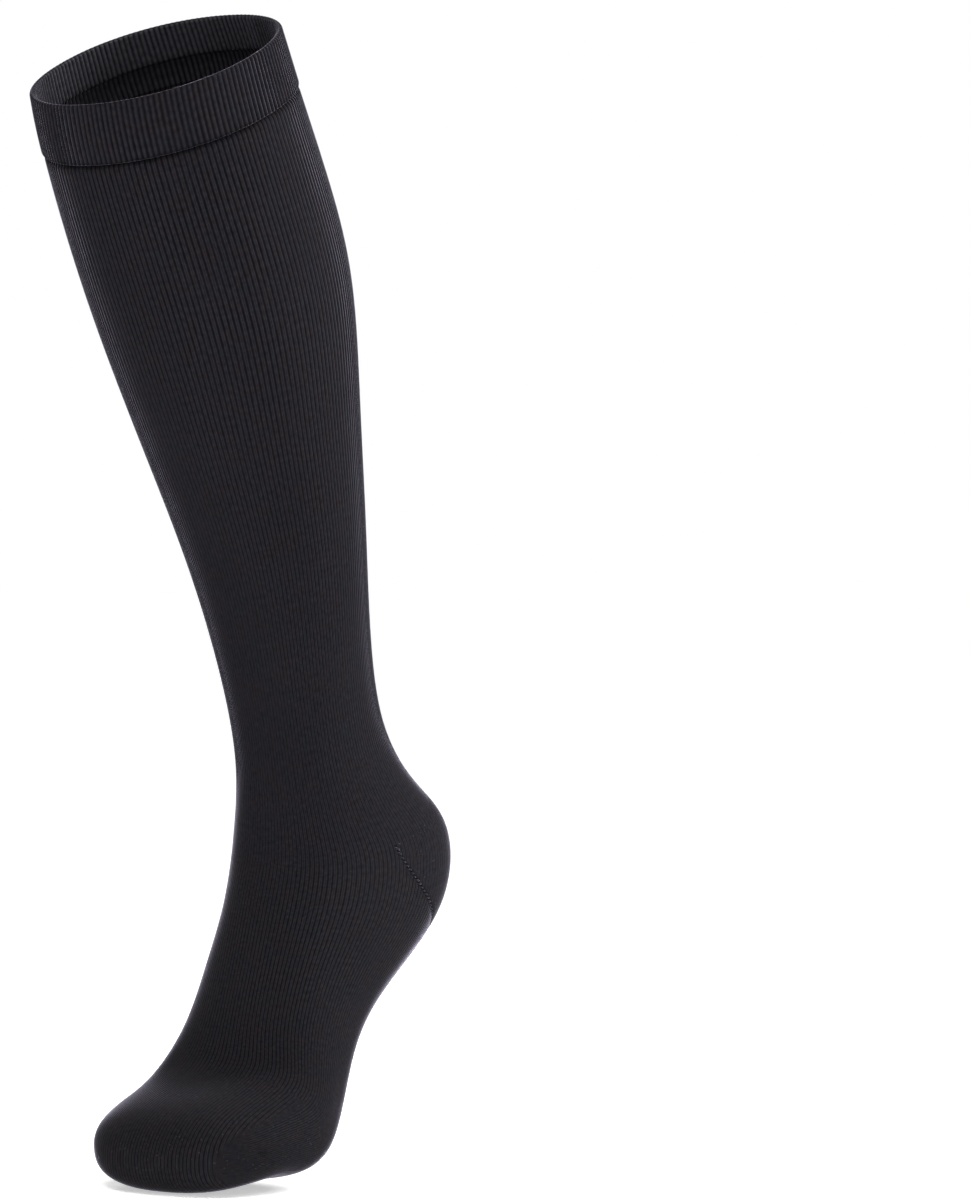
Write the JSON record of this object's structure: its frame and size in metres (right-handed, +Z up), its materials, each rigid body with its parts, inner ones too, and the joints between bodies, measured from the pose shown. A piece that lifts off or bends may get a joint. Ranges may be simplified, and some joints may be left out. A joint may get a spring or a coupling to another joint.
{
  "type": "compression stocking",
  "caption": "Knee-high knitted compression stocking, filled out in the shape of a leg on tiptoe, with a ribbed cuff, a heel pocket, a closed toe and an open mouth.",
  "frame": {"origin": "middle of the stocking's open mouth, where the wearer's leg holds it", "axes": "+X across the leg, -Y towards the toes, +Z up, with the leg leaning forward over the toes"},
  "size_m": [0.108, 0.2392, 0.5044],
  "materials": {
    "cuff_rib_knit": "ribbed double-layer elastic knit, charcoal black, soft dull surface",
    "leg_knit": "fine vertically ribbed compression knit, charcoal black, soft nap at the edges",
    "heel_knit": "double-yarn heel knit, charcoal black, faint light flecks",
    "foot_knit": "smooth fine jersey knit, charcoal black",
    "toe_knit": "double-yarn toe knit, charcoal black, faint light flecks"
  },
  "bodies": {
    "root": {"cuff": "cuff_rib_knit", "leg": "leg_knit", "heel": "heel_knit", "foot": "foot_knit", "toe": "toe_knit"}
  },
  "joints": []
}
